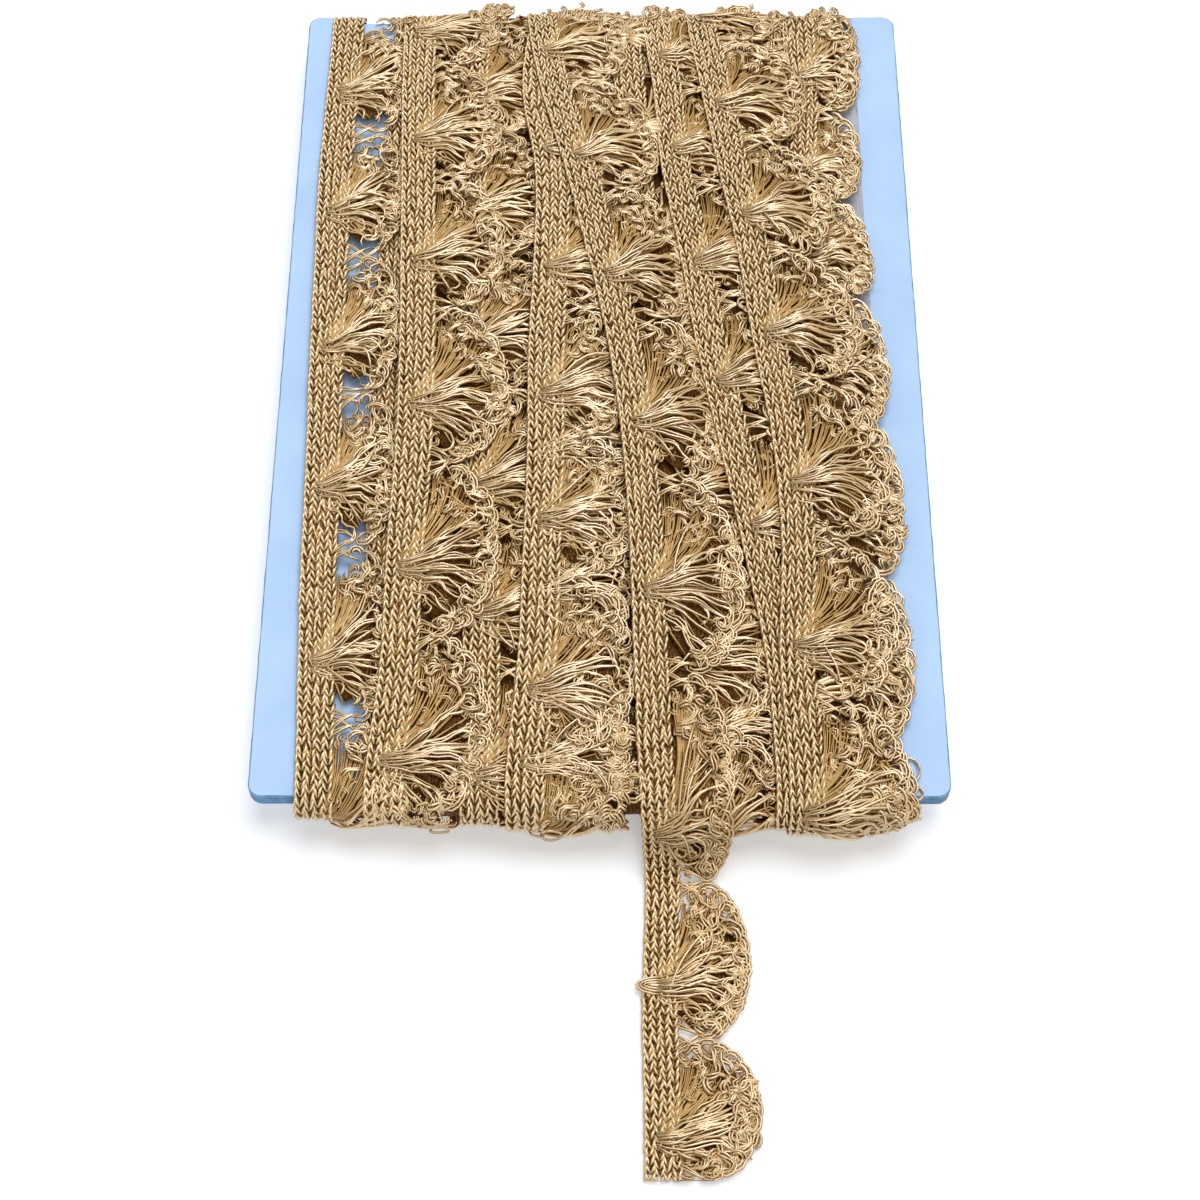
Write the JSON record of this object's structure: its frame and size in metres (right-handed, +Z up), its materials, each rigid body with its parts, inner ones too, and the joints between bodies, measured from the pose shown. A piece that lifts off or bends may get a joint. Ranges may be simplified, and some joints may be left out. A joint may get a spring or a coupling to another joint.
{
  "type": "lace border trim wound on a card",
  "caption": "Scalloped metallic-thread lace border trim wound lengthwise round a stiff blue card, with its loose end lying in front.",
  "frame": {"origin": "middle of the flat face that it rests on, under the middle of the card", "axes": "+Z up, +Y along the card's long side away from the loose end, +X to the scalloped side of the trim"},
  "size_m": [0.148, 0.2987, 0.0255],
  "materials": {
    "gold_lace": "metallic thread, satin",
    "blue_card": "matt, pale blue, darker at its cut edges",
    "grey_tape": "satin translucent band"
  },
  "bodies": {
    "root": {"card": "blue_card", "wound_trim": "gold_lace", "loose_end": "gold_lace"}
  },
  "joints": []
}
